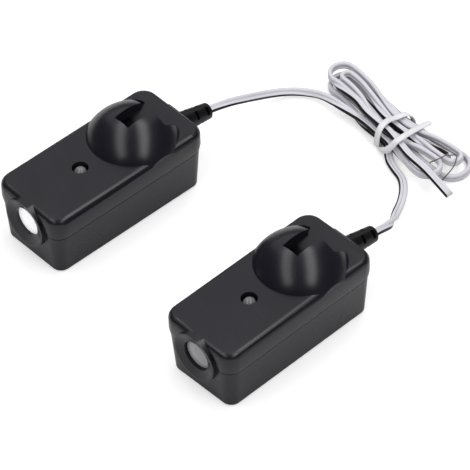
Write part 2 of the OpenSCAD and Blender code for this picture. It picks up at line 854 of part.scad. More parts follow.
at_sender() base();  // sender_base
at_sender() cover();  // sender_cover
at_sender() lens();  // sender_lens
at_sender() lens_gasket();  // sender_lens_gasket
at_sender() circuit_board();  // sender_circuit_board
at_sender() emitter();  // sender_emitter
at_sender() driver_transistor();  // sender_driver_transistor
at_sender() indicator_led();  // sender_indicator_led
at_sender() led_spacer();  // sender_led_spacer
at_sender() chip();  // sender_chip
at_sender() capacitor();  // sender_capacitor
at_sender() resistors();  // sender_resistors
at_sender() wire_tails();  // sender_wire_tails
at_sender() strain_relief();  // sender_strain_relief
free_lead(1, sender_route, sender_in);  // sender_lead
wound_lead(sender_wound);  // sender_hank
at_receiver() base();  // receiver_base
at_receiver() cover();  // receiver_cover
at_receiver() lens();  // receiver_lens
at_receiver() lens_gasket();  // receiver_lens_gasket
at_receiver() circuit_board();  // receiver_circuit_board
at_receiver() photodiode();  // receiver_photodiode
at_receiver() shield_can();  // receiver_shield_can
at_receiver() indicator_led();  // receiver_indicator_led
at_receiver() led_spacer();  // receiver_led_spacer
at_receiver() chip();  // receiver_chip
at_receiver() capacitor();  // receiver_capacitor
at_receiver() resistors();  // receiver_resistors
at_receiver() wire_tails();  // receiver_wire_tails
at_receiver() strain_relief();  // receiver_strain_relief
free_lead(-1, receiver_route, receiver_in);  // receiver_lead
wound_lead(receiver_wound);  // receiver_hank
bare_ends();  // receiver_bare_ends
twist_tie();

union() {  // sender_hank
    echo("sender_hank_least_gap", least_gap(sender_wound, sender_wound, true));
    echo("hank_least_gap_between_leads", least_gap(sender_wound, receiver_wound, false));
}
echo("receiver_hank_least_gap", least_gap(receiver_wound, receiver_wound, true));  // receiver_hank
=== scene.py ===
"""Gate safety photocells: a sender and a receiver on a pale table, their leads wound in one tied hank."""

import logging
import math
from dataclasses import dataclass
from enum import Enum, IntEnum
from typing import ClassVar

import bmesh
import bpy
import numpy as np
from mathutils import Matrix, Vector

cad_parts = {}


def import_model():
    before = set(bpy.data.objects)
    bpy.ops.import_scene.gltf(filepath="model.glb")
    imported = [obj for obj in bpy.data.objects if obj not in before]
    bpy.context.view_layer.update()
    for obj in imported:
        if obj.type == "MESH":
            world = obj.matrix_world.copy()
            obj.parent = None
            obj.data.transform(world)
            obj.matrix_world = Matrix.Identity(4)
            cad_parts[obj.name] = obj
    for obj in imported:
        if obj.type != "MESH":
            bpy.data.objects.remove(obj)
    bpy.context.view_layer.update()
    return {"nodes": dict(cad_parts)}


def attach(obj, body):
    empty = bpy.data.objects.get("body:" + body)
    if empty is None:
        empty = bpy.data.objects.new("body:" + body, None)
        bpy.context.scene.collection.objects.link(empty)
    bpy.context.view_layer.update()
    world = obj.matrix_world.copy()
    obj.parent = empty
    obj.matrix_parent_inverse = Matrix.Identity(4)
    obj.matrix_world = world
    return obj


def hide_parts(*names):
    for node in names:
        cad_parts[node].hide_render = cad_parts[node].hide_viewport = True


LOG = logging.getLogger("photocells")
MM = 0.001
BODY = "root"
UP = np.array([0.0, 0.0, 1.0])
WHITE = (1.0, 1.0, 1.0, 1.0)

Triple = tuple[float, float, float]
Place = tuple[float, ...]
Route = tuple[Place, ...]


class Unit(Enum):
    """The two housings, with the side of the pair that each one lies on."""

    SENDER = 1
    RECEIVER = -1

    @property
    def word(self) -> str:
        """The unit's name in the CAD nodes."""
        return self.name.lower()


class End(Enum):
    """The two ends of the hank, with the way along Y that its bends bulge there."""

    FAR = 1
    NEAR = -1


class Side(Enum):
    """The two sides of a bend, with the way along X from its middle."""

    RIGHT = 1
    LEFT = -1

    @property
    def other(self) -> "Side":
        """The opposite side."""
        return Side(-self.value)


class Level(IntEnum):
    """The layers of the hank from the table up, by what lies on each of them."""

    RECEIVER_LEAD = 0
    SENDER_LEAD = 1
    SENDER_TAIL = 2


# ---------------------------------------------------------------- finishes


def add_node(
    tree: bpy.types.NodeTree,
    kind: str,
    values: dict[str, float | tuple[float, ...]] | None = None,
) -> bpy.types.Node:
    """Adds a shader node to a tree.

    Args:
        tree: the material's or the world's nodes.
        kind: the node's type, without the word that all of them start with.
        values: what its inputs are set to, by their names.

    Returns:
        The new node.
    """
    node = tree.nodes.new(f"ShaderNode{kind}")
    set_inputs(node, values or {})
    return node


def set_inputs(node: bpy.types.Node, values: dict[str, float | tuple[float, ...]]) -> None:
    """Sets inputs of a node by their names."""
    for name, value in values.items():
        node.inputs[name].default_value = value


@dataclass(frozen=True)
class Finish:
    """One finish of the object, as a procedural material.

    A slow mottle varies the colour and the gloss, and a fine grain lifts the surface. A painted glow,
    where one is given, makes the finish glow in its own colour: painted light on a part that is no lamp.
    """

    MOTTLE_DETAIL: ClassVar[float] = 3.0
    GRAIN_DETAIL: ClassVar[float] = 2.0
    MOTTLE_SPAN: ClassVar[tuple[float, float]] = (0.3, 0.7)

    name: str
    color: Triple
    roughness: float = 0.45
    specular: float = 0.5
    metallic: float = 0.0
    transmission: float = 0.0
    ior: float = 1.46
    mottle: float = 0.08
    mottle_scale: float = 90.0
    gloss_change: float = 0.06
    grain: float = 0.04
    grain_scale: float = 2600.0
    grain_depth: float = 0.02 * MM
    # Strength of a painted glow in the finish's own colour: painted light on a part that is no lamp
    emission: float = 0.0

    def material(self) -> bpy.types.Material:
        """Builds the material.

        Returns:
            The new material, which reads Object coordinates.
        """
        made = bpy.data.materials.new(self.name)
        made.use_nodes = True
        tree = made.node_tree
        links = tree.links
        shader = tree.nodes["Principled BSDF"]
        set_inputs(
            shader,
            {
                "Specular IOR Level": self.specular,
                "Metallic": self.metallic,
                "Transmission Weight": self.transmission,
                "IOR": self.ior,
            },
        )
        coords = add_node(tree, "TexCoord").outputs["Object"]
        slow = self._noise(tree, coords, self.mottle_scale, self.MOTTLE_DETAIL)
        tone = add_node(tree, "ValToRGB")
        for stop, place, share in zip(
            tone.color_ramp.elements, self.MOTTLE_SPAN, (1.0 - self.mottle, 1.0 + self.mottle)
        ):
            stop.color = (*[min(1.0, c * share) for c in self.color], 1.0)
            stop.position = place
        links.new(slow, tone.inputs["Fac"])
        links.new(self.colour(tree, tone.outputs["Color"]), shader.inputs["Base Color"])
        gloss = add_node(
            tree,
            "MapRange",
            {
                "To Min": max(0.0, self.roughness - self.gloss_change),
                "To Max": min(1.0, self.roughness + self.gloss_change),
            },
        )
        links.new(slow, gloss.inputs["Value"])
        links.new(gloss.outputs["Result"], shader.inputs["Roughness"])
        fine = self._noise(tree, coords, self.grain_scale, self.GRAIN_DETAIL)
        bump = add_node(tree, "Bump", {"Strength": self.grain, "Distance": self.grain_depth})
        links.new(fine, bump.inputs["Height"])
        links.new(bump.outputs["Normal"], shader.inputs["Normal"])
        # Painted glow: the finish glows in its own colour, painted light that is no lamp
        if self.emission:
            set_inputs(shader, {"Emission Color": (*self.color, 1.0), "Emission Strength": self.emission})
        return made

    def colour(self, tree: bpy.types.NodeTree, tone: bpy.types.NodeSocket) -> bpy.types.NodeSocket:
        """Returns the base colour's socket; a patterned finish puts its pattern over the mottled tone.

        Args:
            tree: the material's nodes, for what a pattern adds.
            tone: the mottled tone.
        """
        return tone

    @staticmethod
    def _noise(
        tree: bpy.types.NodeTree,
        coords: bpy.types.NodeSocket,
        scale: float,
        detail: float,
    ) -> bpy.types.NodeSocket:
        """Adds a noise texture and returns its socket."""
        noise = add_node(tree, "TexNoise", {"Scale": scale, "Detail": detail})
        tree.links.new(coords, noise.inputs["Vector"])
        return noise.outputs["Fac"]


@dataclass(frozen=True)
class StripedLead(Finish):
    """White insulation with one black stripe between two turns round a conductor, in degrees.

    The turns are read from the lead's own attribute.
    """

    stripe: Triple = (0.006, 0.006, 0.007)
    stripe_from: float = -74.0
    stripe_to: float = 74.0
    edge: float = 5.0

    def colour(self, tree: bpy.types.NodeTree, tone: bpy.types.NodeSocket) -> bpy.types.NodeSocket:
        """Mixes the stripe over the tone.

        Args:
            tree: the material's nodes.
            tone: the mottled tone.

        Returns:
            The socket of the mixed colour.
        """
        turn = add_node(tree, "Attribute")
        turn.attribute_name = FlatSection.ATTRIBUTE
        both = add_node(tree, "Math")
        both.operation = "MULTIPLY"
        for k, (at, width) in enumerate(((self.stripe_from, self.edge), (self.stripe_to, -self.edge))):
            step = self._step(tree, turn.outputs["Fac"], at, width)
            tree.links.new(step, both.inputs[k])
        mix = add_node(tree, "Mix")
        mix.data_type = "RGBA"
        under, over = (socket for socket in mix.inputs if socket.type == "RGBA")
        tree.links.new(tone, under)
        over.default_value = (*self.stripe, 1.0)
        tree.links.new(both.outputs["Value"], mix.inputs["Factor"])
        return next(socket for socket in mix.outputs if socket.type == "RGBA")

    @staticmethod
    def _step(
        tree: bpy.types.NodeTree,
        source: bpy.types.NodeSocket,
        at: float,
        width: float,
    ) -> bpy.types.NodeSocket:
        """Adds a clamped ramp from 0 to 1 across the place at, falling where width is negative."""
        ramp = add_node(tree, "MapRange", {"From Min": at - width / 2, "From Max": at + width / 2})
        tree.links.new(source, ramp.inputs["Value"])
        return ramp.outputs["Result"]


class Finishes:
    """Every finish of the object, each made once."""

    HOUSING = Finish("black_housing", (0.0085, 0.0078, 0.0125), 0.27, gloss_change=0.02, mottle=0.1)
    RELIEF = Finish("soft_black_relief", (0.006, 0.0058, 0.007), 0.28, specular=0.3, mottle=0.12)
    GASKET = Finish("gasket_rubber", (0.012, 0.012, 0.012), 0.7)
    # The pale lens has a painted glow in its own colour: painted light that brightens it past what the
    # lamps give
    PALE_LENS = Finish("pale_frosted_lens_painted_glow", (0.93, 0.93, 0.94), 0.3, mottle=0.02, emission=0.35)
    GREY_LENS = Finish("grey_frosted_lens", (0.33, 0.33, 0.35), 0.24, mottle=0.1)
    CLEAR = Finish("clear_resin", (0.9, 0.92, 0.93), 0.05, transmission=0.85, ior=1.5, mottle=0.02)
    BOARD = Finish("board_green", (0.01, 0.12, 0.045), 0.4)
    BLACK_PART = Finish("moulded_component", (0.014, 0.014, 0.014), 0.5)
    EMITTER = Finish("tinted_resin", (0.07, 0.05, 0.14), 0.12)
    DARK_RESIN = Finish("dark_resin", (0.014, 0.01, 0.014), 0.12)
    SLEEVE = Finish("capacitor_sleeve", (0.012, 0.018, 0.09), 0.3)
    LACQUER = Finish("resistor_lacquer", (0.52, 0.38, 0.2), 0.4)
    TIN = Finish("tinned_steel", (0.6, 0.6, 0.62), 0.3, metallic=1.0)
    COPPER = Finish("bare_copper", (0.14, 0.125, 0.12), 0.4, metallic=0.5, mottle=0.2)
    TIE = Finish("tie_plastic", (0.73, 0.73, 0.75), 0.4, specular=0.3, mottle=0.03)
    WIRE = Finish("wire_insulation", (0.6, 0.6, 0.64), 0.4, mottle=0.03)
    LEAD = StripedLead("striped_lead", (0.625, 0.61, 0.66), 0.42, specular=0.3, mottle=0.03)

    def __init__(self) -> None:
        """Starts with no material made."""
        self.made: dict[str, bpy.types.Material] = {}

    def get(self, finish: Finish) -> bpy.types.Material:
        """Returns the finish's material, making it the first time."""
        if finish.name not in self.made:
            self.made[finish.name] = finish.material()
        return self.made[finish.name]


# ---------------------------------------------------------------- camera and studio


@dataclass(frozen=True)
class PhotoCamera:
    """The camera where the photograph was taken from, in the row frame and in metres."""

    place: Triple = (-0.71553, -0.82698, 1.127)
    right: Triple = (0.72803, -0.68512, -0.02395)
    down: Triple = (-0.50028, -0.50707, -0.70185)
    forward: Triple = (0.46871, 0.52296, -0.71192)
    lens: float = 321.65
    sensor: float = 36.0
    clip: tuple[float, float] = (0.1, 30.0)

    def build(self) -> None:
        """Makes the camera and hands it to the scene."""
        data = bpy.data.cameras.new("photo_camera")
        data.sensor_width = self.sensor
        data.lens = self.lens
        data.clip_start, data.clip_end = self.clip
        camera = bpy.data.objects.new("photo_camera", data)
        axes = Matrix((self.right, self.down, self.forward)).transposed()
        axes.col[1].negate()
        axes.col[2].negate()
        camera.matrix_world = Matrix.Translation(self.place) @ axes.to_4x4()
        bpy.context.scene.collection.objects.link(camera)
        bpy.context.scene.camera = camera


@dataclass(frozen=True)
class Lamp:
    """One soft rectangular lamp, its long side along a direction of the floor."""

    name: str
    place: Triple
    size: tuple[float, float]
    power: float
    along: tuple[float, float]
    aim: Triple = (0.03, 0.0, 0.01)

    def build(self) -> None:
        """Makes the lamp and turns it to its aim."""
        data = bpy.data.lights.new(self.name, "AREA")
        data.shape = "RECTANGLE"
        data.size, data.size_y = self.size
        data.energy = self.power
        lamp = bpy.data.objects.new(self.name, data)
        back = (Vector(self.place) - Vector(self.aim)).normalized()
        up = Vector((*self.along, 0.0))
        up = (up - up.dot(back) * back).normalized()
        axes = Matrix((up.cross(back), up, back)).transposed()
        lamp.matrix_world = Matrix.Translation(self.place) @ axes.to_4x4()
        bpy.context.scene.collection.objects.link(lamp)


@dataclass(frozen=True)
class Studio:
    """A pale floor, a white surround, two long overhead lamps and a broad panel behind."""

    floor_size: float = 6.0
    floor_color: Triple = (0.68, 0.68, 0.68)
    floor_roughness: float = 0.9
    floor_specular: float = 0.1
    floor_glow: float = 0.45
    surround: float = 0.37
    mirrored: float = 0.04
    lamps: tuple[Lamp, ...] = (
        Lamp("left_strip", (-0.458, 0.21, 1.0), (0.36, 1.85), 6.0, (0.812, 0.583)),
        Lamp("right_strip", (0.195, -0.407, 1.0), (0.36, 1.85), 8.0, (0.512, 0.859)),
        Lamp("back_panel", (0.56, 0.68, 0.86), (1.7, 1.3), 4.2, (0.667, 0.745)),
    )

    def build(self) -> None:
        """Makes the floor, the surround and the lamps, and sets how the view shows colour."""
        scene = bpy.context.scene
        scene.view_settings.view_transform = "Standard"
        self._floor()
        self._surround(scene)
        for lamp in self.lamps:
            lamp.build()

    def _floor(self) -> None:
        """Lays the floor under the object."""
        bm = bmesh.new()
        bmesh.ops.create_grid(bm, x_segments=1, y_segments=1, size=self.floor_size)
        floor = new_piece("floor", bm, self._floor_material())

    def _floor_material(self) -> bpy.types.Material:
        """A matt pale floor that the camera sees a little brighter than it is lit."""
        made = bpy.data.materials.new("pale_floor")
        made.use_nodes = True
        tree = made.node_tree
        links = tree.links
        shader = tree.nodes["Principled BSDF"]
        set_inputs(
            shader,
            {
                "Base Color": (*self.floor_color, 1.0),
                "Roughness": self.floor_roughness,
                "Specular IOR Level": self.floor_specular,
            },
        )
        glow = add_node(tree, "Emission", {"Strength": self.floor_glow})
        both = add_node(tree, "AddShader")
        links.new(shader.outputs["BSDF"], both.inputs[0])
        links.new(glow.outputs["Emission"], both.inputs[1])
        path = add_node(tree, "LightPath")
        choose = add_node(tree, "MixShader")
        links.new(path.outputs["Is Camera Ray"], choose.inputs["Fac"])
        links.new(shader.outputs["BSDF"], choose.inputs[1])
        links.new(both.outputs["Shader"], choose.inputs[2])
        links.new(choose.outputs["Shader"], tree.nodes["Material Output"].inputs["Surface"])
        return made

    def _surround(self, scene: bpy.types.Scene) -> None:
        """A world that is white to the camera, dim in what the gloss mirrors, and lights softly.

        Args:
            scene: the scene whose world is set.
        """
        world = bpy.data.worlds.new("surround")
        scene.world = world
        world.use_nodes = True
        tree = world.node_tree
        path = add_node(tree, "LightPath")
        shown = tree.nodes["Background"]
        set_inputs(shown, {"Color": WHITE, "Strength": self.surround})
        for ray, strength in (("Is Glossy Ray", self.mirrored), ("Is Camera Ray", 1.0)):
            other = add_node(tree, "Background", {"Color": WHITE, "Strength": strength})
            choose = add_node(tree, "MixShader")
            tree.links.new(path.outputs[ray], choose.inputs["Fac"])
            tree.links.new(shown.outputs[0], choose.inputs[1])
            tree.links.new(other.outputs["Background"], choose.inputs[2])
            shown = choose
        tree.links.new(shown.outputs["Shader"], tree.nodes["World Output"].inputs["Surface"])


# ---------------------------------------------------------------- helpers for pieces


def new_piece(name: str, bm: bmesh.types.BMesh, material: bpy.types.Material) -> bpy.types.Object:
    """Makes an object at the origin from a bmesh.

    Args:
        name: the piece's name.
        bm: its shape in the row frame, which is freed.
        material: its finish.

    Returns:
        The new object, smooth-shaded.
    """
    mesh = bpy.data.meshes.new(name)
    bm.to_mesh(mesh)
    bm.free()
    mesh.shade_smooth()
    mesh.materials.append(material)
    piece = bpy.data.objects.new(name, mesh)
    bpy.context.scene.collection.objects.link(piece)
    return piece


def joined(name: str, parts: list[bpy.types.Object]) -> bpy.types.Object:
    """Several meshes of one finish brought together as one piece."""
    bm = bmesh.new()
    for part in parts:
        bm.from_mesh(part.data)
    piece = new_piece(name, bm, parts[0].data.materials[0])
    for part in parts:
        bpy.data.objects.remove(part)
    return piece


def place_on(piece: bpy.types.Object, slot: str, *nodes: str) -> bpy.types.Object:
    """Lets a piece ride on the body and hides the CAD nodes that it stands for."""
    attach(piece, BODY)
    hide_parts(*nodes)
    LOG.info("piece %s, %d vertices", piece.name, len(piece.data.vertices))
    return piece


@dataclass(frozen=True)
class Softened:
    """How a CAD node is shown: joined up, its flats cleared and its sharp edges rounded."""

    IMPORTED: ClassVar[tuple[str, ...]] = ("custom_normal", "sharp_edge", "sharp_face")

    radius: float = 0.12 * MM
    segments: int = 2
    weld: float = 0.002 * MM
    flat_deg: float = 0.4
    sharp_deg: float = 18.0

    def dress(self, node: bpy.types.Object, material: bpy.types.Material, slot: str) -> None:
        """Gives a CAD node its finish, and its rounded edges by modifiers alone.

        Args:
            node: the CAD node's object.
            material: its finish.
            slot: the record's material slot; not used.
        """
        mesh = node.data
        for name in self.IMPORTED:
            if name in mesh.attributes:
                mesh.attributes.remove(mesh.attributes[name])
        mesh.shade_smooth()
        mesh.materials.clear()
        mesh.materials.append(material)
        weld = node.modifiers.new("join", "WELD")
        weld.merge_threshold = self.weld
        flats = node.modifiers.new("flats", "DECIMATE")
        flats.decimate_type = "DISSOLVE"
        flats.angle_limit = math.radians(self.flat_deg)
        edges = node.modifiers.new("edges", "BEVEL")
        edges.width = self.radius
        edges.segments = self.segments
        edges.limit_method = "ANGLE"
        edges.angle_limit = math.radians(self.sharp_deg)
        edges.use_clamp_overlap = True
        edges.harden_normals = True
        LOG.info("node %s dressed as %s", node.name, material.name)


# ---------------------------------------------------------------- lines

# Weights of four neighbouring places, a row for each power of the share gone between the middle two
CATMULL_ROM = np.array([[0, 2, 0, 0], [-1, 0, 1, 0], [2, -5, 4, -1], [-1, 3, -3, 1]]) / 2


def smooth(places: np.ndarray, steps: int) -> np.ndarray:
    """A smooth curve through given places.

    Args:
        places: one row per place.
        steps: points from each place to the next.

    Returns:
        The points, the last place among them.
    """
    last = len(places) - 1
    powers = (np.arange(steps) / steps)[:, None] ** np.arange(len(CATMULL_ROM))
    spans = []
    for i in range(last):
        four = places[np.clip(np.arange(i - 1, i + 3), 0, last)]
        spans.append(powers @ CATMULL_ROM @ four)
    return np.vstack([*spans, places[-1:]])


def curve(places: Route, steps: int) -> list[Place]:
    """The smooth curve through places, as a list of places."""
    return [tuple(place) for place in smooth(np.array(places), steps)]


def unit_rows(v: np.ndarray) -> np.ndarray:
    """Rows of v brought to length one."""
    return v / np.linalg.norm(v, axis=-1, keepdims=True)


def ways(line: np.ndarray) -> np.ndarray:
    """Direction of travel at every point of a line."""
    ahead = np.vstack([line[1:], line[-1:]])
    behind = np.vstack([line[:1], line[:-1]])
    return unit_rows(ahead - behind)


def gone(line: np.ndarray) -> np.ndarray:
    """Length of a line from its first point to each of its points."""
    return np.concatenate([[0.0], np.cumsum(np.linalg.norm(np.diff(line, axis=0), axis=1))])


def length_of(line: np.ndarray) -> float:
    """Length of a line of points."""
    return float(gone(line)[-1])


def eased(share: float) -> float:
    """A share from 0 to 1, slowed at both ends."""
    return (1 - math.cos(math.pi * share)) / 2


# ---------------------------------------------------------------- routes, as in the part's source


@dataclass(frozen=True)
class Bend:
    """Half a turn of the hank: its end, the side it starts from, its middle and radius in millimetres."""

    end: End
    start: Side
    x: float
    y: float
    r: float


Passes = tuple[tuple[float | None, Bend], ...]


@dataclass(frozen=True)
class HankRoute:
    """Both leads' routes through the hank, each place (x, y, z, turn) in millimetres and degrees.

    The tuples of heights and turns go by level. The passes give the slot of the waist that a lead
    passes, if it does, and the bend that follows.
    """

    waist_x: tuple[float, ...] = (106.9, 105.8, 106.9)
    waist_y: float = -5.0
    slot_pitch: float = 4.2
    flat_z: tuple[float, ...] = (2.4, 5.0, 7.5)
    edge_z: tuple[float, ...] = (1.75, 5.8)
    edge_turn: tuple[float, ...] = (-90.0, 90.0)
    waist_turn: tuple[float, ...] = (0.0, -15.0, -12.0)
    twist_lead: float = 1.4
    run_steps: int = 12
    bend_steps: int = 18
    entry_steps: int = 3
    tail_steps: int = 4
    sender_start: Place = (101.1, 10.0, 4.8, 0.0)
    sender_passes: Passes = (
        (-1.5, Bend(End.NEAR, Side.LEFT, 100.0, -27.9, 5.1)),
        (-0.5, Bend(End.FAR, Side.LEFT, 112.9, 28.5, 2.2)),
        (0.5, Bend(End.NEAR, Side.LEFT, 110.6, -31.2, 3.2)),
        (1.5, Bend(End.FAR, Side.RIGHT, 113.0, 31.1, 5.2)),
    )
    sender_over: Route = (
        (106.3, 23.8, 7.0, 15.0), (105.0, 15.3, 7.9, -10.0), (102.9, 7.7, 8.0, -12.0),
        (102.2, -0.2, 7.7, -12.0),
    )
    sender_tail_slot: float = -1.15
    sender_tail: Route = (
        (99.9, -12.6, 8.1, -5.0), (97.1, -21.2, 9.1, 0.0), (95.8, -32.1, 9.2, 5.0),
        (93.2, -46.5, 8.2, 10.0),
    )
    receiver_entry: Route = (
        (93.2, -17.6, 1.1, 0.0), (94.7, -13.3, 1.4, 0.0), (97.0, -10.0, 1.9, 0.0),
        (99.6, -7.4, 2.3, 0.0), (100.5, -4.4, 2.4, 0.0), (101.0, 1.0, 2.35, 0.0),
    )
    receiver_passes: Passes = (
        (None, Bend(End.FAR, Side.LEFT, 112.1, 28.8, 6.0)),
        (1.5, Bend(End.NEAR, Side.RIGHT, 109.9, -31.2, 6.9)),
        (-0.5, Bend(End.FAR, Side.LEFT, 112.2, 28.4, 3.3)),
    )
    receiver_tail_slot: float = 0.5
    receiver_tail_turn: float = -190.0
    receiver_tail: Route = (
        (109.8, -12.0, 2.4, -190.0), (111.0, -18.0, 2.6, -210.0), (111.1, -24.0, 3.4, -250.0),
        (110.2, -28.6, 4.6, -270.0),
    )

    def at_waist(self, slot: float, level: Level, turn: float | None = None) -> Place:
        """A place on one level at one slot of the waist, at its level's turn where none is given."""
        x = self.waist_x[level] + slot * self.slot_pitch
        return (x, self.waist_y, self.flat_z[level], self.waist_turn[level] if turn is None else turn)

    def at_bend(self, bend: Bend, side: Side, level: Level) -> Place:
        """Where a bend begins or ends."""
        return (bend.x + side.value * bend.r, bend.y, self.edge_z[level], self.edge_turn[level])

    def run(self, a: Place, b: Place) -> list[Place]:
        """An eased run between two places, without its last one.

        The lead lies flat at the waist and on edge at the bends. It turns near the flatter place.
        """
        out = []
        for i in range(self.run_steps):
            share = i / self.run_steps
            if abs(a[3]) < abs(b[3]):
                twisted = eased(min(1.0, self.twist_lead * share))
            else:
                twisted = eased(max(0.0, 1 - self.twist_lead * (1 - share)))
            shares = (eased(share), share, twisted, twisted)
            out.append(tuple(p + (q - p) * s for p, q, s in zip(a, b, shares)))
        return out

    def around(self, bend: Bend, level: Level) -> list[Place]:
        """Half a turn from the side where the bend starts, without its last place."""
        out = []
        for i in range(self.bend_steps):
            a = math.pi * i / self.bend_steps
            x = bend.x + bend.start.value * bend.r * math.cos(a)
            y = bend.y + bend.end.value * bend.r * math.sin(a)
            out.append((x, y, self.edge_z[level], self.edge_turn[level]))
        return out

    def wind(self, here: Place, passes: Passes, level: Level) -> tuple[list[Place], Place]:
        """Winds a lead through bend after bend.

        Args:
            here: where it starts.
            passes: its slots of the waist and its bends.
            level: its level in the hank.

        Returns:
            The places up to the end of the last bend, and that end.
        """
        out: list[Place] = []
        for slot, bend in passes:
            if slot is not None:
                waist = self.at_waist(slot, level)
                out += self.run(here, waist)
                here = waist
            out += self.run(here, self.at_bend(bend, bend.start, level))
            out += self.around(bend, level)
            here = self.at_bend(bend, bend.start.other, level)
        return out, here

    def sender(self) -> list[Place]:
        """The sender's lead through the hank, up to its cut end."""
        wound, here = self.wind(self.sender_start, self.sender_passes, Level.SENDER_LEAD)
        waist = self.at_waist(self.sender_tail_slot, Level.SENDER_TAIL)
        return wound + curve((here, *self.sender_over, waist, *self.sender_tail), self.tail_steps)

    def receiver(self) -> list[Place]:
        """The receiver's lead through the hank, up to where it is stripped."""
        level = Level.RECEIVER_LEAD
        wound, here = self.wind(self.receiver_entry[-1], self.receiver_passes, level)
        waist = self.at_waist(self.receiver_tail_slot, level, self.receiver_tail_turn)
        return (
            curve(self.receiver_entry, self.entry_steps)[:-1]
            + wound
            + self.run(here, waist)
            + curve((waist, *self.receiver_tail), self.tail_steps)
        )


@dataclass(frozen=True)
class PairPlace:
    """How the two housings lie, in millimetres and degrees.

    The pitch, the stagger and the toe set them apart, forward and aslant. Both lie back by half of
    what their barrels stand proud. Each strain relief ends and droops in its housing's own frame.
    """

    pitch: float = 93.2
    stagger: float = 1.4
    toe: float = 0.88
    proud: float = 1.2
    relief_end: Triple = (53.0892, 0.0, 15.3905)
    droop: float = 11.0

    def point(self, which: Unit, p: Triple) -> np.ndarray:
        """A point of one housing's own frame, in the pair's frame."""
        side = which.value
        shift = np.array([self.proud / 2 + side * self.stagger / 2, side * self.pitch / 2, 0.0])
        return self.way(which, p) + shift

    def way(self, which: Unit, p: Triple) -> np.ndarray:
        """A direction of one housing's own frame, in the pair's frame."""
        a = -which.value * math.radians(self.toe)
        x, y, z = p
        return np.array([x * math.cos(a) - y * math.sin(a), x * math.sin(a) + y * math.cos(a), z])


# ---------------------------------------------------------------- leads


@dataclass(frozen=True)
class FlatSection:
    """Outline of the flat twin lead: two round conductors and the web between them.

    Each point carries its turn round the striped conductor, in degrees; the points of the other
    conductor carry one that no stripe reaches.
    """

    ATTRIBUTE: ClassVar[str] = "turn_round"
    UNMARKED: ClassVar[float] = -200.0

    width: float = 3.35
    thickness: float = 1.75
    web: float = 1.1
    arc_points: int = 17

    def outline(self) -> np.ndarray:
        """Points round the section, (across, up, turn) in millimetres and degrees."""
        r = self.thickness / 2
        middle = self.width / 2 - r
        meet = math.pi - math.asin(self.web / 2 / r)
        angles = np.linspace(-meet, meet, self.arc_points)
        right = np.c_[middle + r * np.cos(angles), r * np.sin(angles), np.degrees(angles)]
        left = np.c_[-right[:, :2], np.full(len(right), self.UNMARKED)]
        return np.vstack([right, left])


def sweep(
    name: str,
    line: np.ndarray,
    across: np.ndarray,
    section: np.ndarray,
    material: bpy.types.Material,
    narrowed: np.ndarray | None = None,
) -> bpy.types.Object:
    """One closed tube through a line of points.

    Args:
        name: the piece's name.
        line: its centreline, in metres.
        across: the direction of the section's first axis at each point.
        section: the outline, counter-clockwise, in metres, with a third column where it is marked.
        material: its finish.
        narrowed: the share of the section's width at each point, all of it where none is given.

    Returns:
        The tube, with the third column kept as an attribute of its vertices.
    """
    t = ways(line)
    w = unit_rows(across - (across * t).sum(1, keepdims=True) * t)
    up = np.cross(t, w)
    bm = bmesh.new()
    marked = section.shape[1] > 2
    layer = bm.verts.layers.float.new(FlatSection.ATTRIBUTE) if marked else None
    shares = np.ones(len(line)) if narrowed is None else narrowed
    rings = []
    for p, u, v, share in zip(line, w, up, shares):
        ring = []
        for c in section:
            vert = bm.verts.new(p + share * c[0] * u + c[1] * v)
            if marked:
                vert[layer] = float(c[2])
            ring.append(vert)
        rings.append(ring)
    n = len(section)
    for a, b in zip(rings, rings[1:]):
        for k in range(n):
            bm.faces.new((a[k], a[(k + 1) % n], b[(k + 1) % n], b[k]))
    bm.faces.new(rings[0][::-1])
    bm.faces.new(rings[-1])
    bmesh.ops.recalc_face_normals(bm, faces=bm.faces)
    piece = new_piece(name, bm, material)
    for cap in piece.data.polygons[-2:]:
        cap.use_smooth = False
    return piece


@dataclass(frozen=True)
class Lead:
    """One unit's flat twin lead, from its strain relief to its end in the hank."""

    which: Unit
    route: Route
    wound: list[Place]
    first_turn: float
    stripe_side: int = 1
    place: PairPlace = PairPlace()
    section: FlatSection = FlatSection()
    steps: int = 6

    def line(self) -> np.ndarray:
        """Every point of the lead, a row (x, y, z, turn) in millimetres and degrees."""
        start = self.place.point(self.which, self.place.relief_end)
        droop = math.radians(self.place.droop)
        way = self.place.way(self.which, (math.cos(droop), 0.0, -math.sin(droop)))
        turn = self.first_turn
        first = ((*start, turn), (*(start + self.section.width * way), turn))
        free = smooth(np.array([*first, *self.route, self.wound[0]]), self.steps)
        return np.vstack([free[:-1], np.array(self.wound)])

    def build(self, finishes: Finishes) -> tuple[bpy.types.Object, np.ndarray]:
        """Makes the lead and returns it with its centreline in metres."""
        places = self.line()
        centre = places[:, :3]
        t = ways(centre)
        flat = unit_rows(np.c_[-t[:, 1], t[:, 0], np.zeros(len(t))])
        turn = np.radians(places[:, 3])[:, None]
        across = self.stripe_side * (np.cos(turn) * flat + np.sin(turn) * UP)
        section = self.section.outline() * (MM, MM, 1.0)
        word = self.which.word
        piece = sweep(f"{word}_flat_lead", centre * MM, across, section, finishes.get(Finishes.LEAD))
        place_on(piece, "lead", f"{word}_lead", f"{word}_hank")
        return piece, centre * MM


